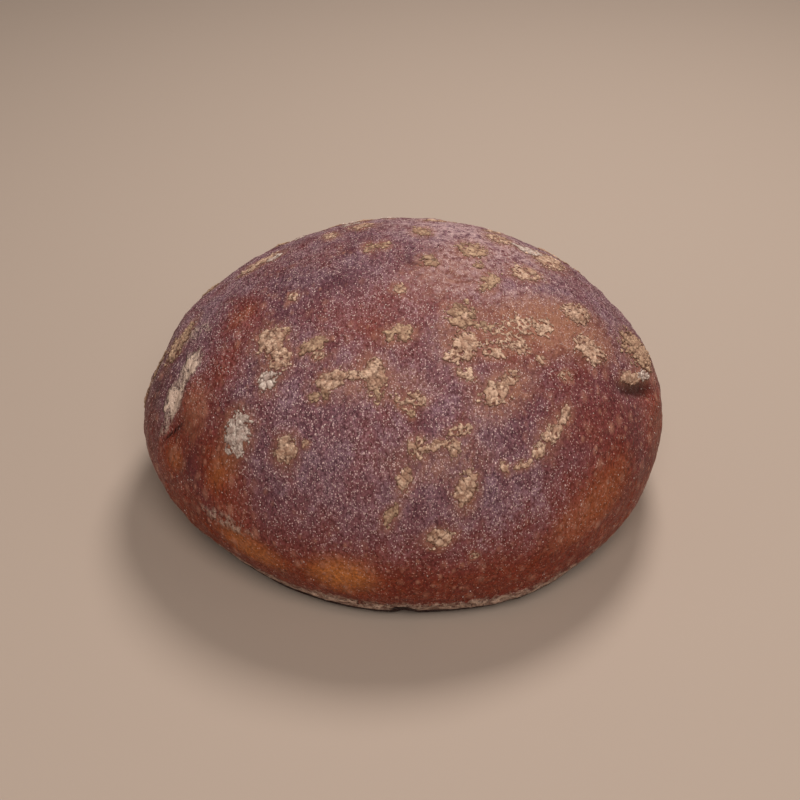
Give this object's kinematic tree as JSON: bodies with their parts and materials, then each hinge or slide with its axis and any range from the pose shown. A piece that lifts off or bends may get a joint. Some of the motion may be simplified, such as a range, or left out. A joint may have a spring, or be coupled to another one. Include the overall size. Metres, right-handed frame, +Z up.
{
  "type": "round hearth loaf",
  "caption": "Round dark-crusted hearth loaf, whole and uncut, domed over a flat floured base; food to be served whole or sliced.",
  "frame": {"origin": "middle of the loaf's footprint, on the plane that its flat base stands on", "axes": "+Z up through the crown; -Y towards the front, the side shown in the picture; +X to the right of the front"},
  "size_m": [0.2322, 0.222, 0.1148],
  "materials": {
    "crust": "dark baked crust, dry and slightly rough, dulled by flour dust",
    "flour": "dry cracked flour cakes on the crust, matt"
  },
  "bodies": {
    "root": {"loaf": "crust"}
  },
  "joints": []
}
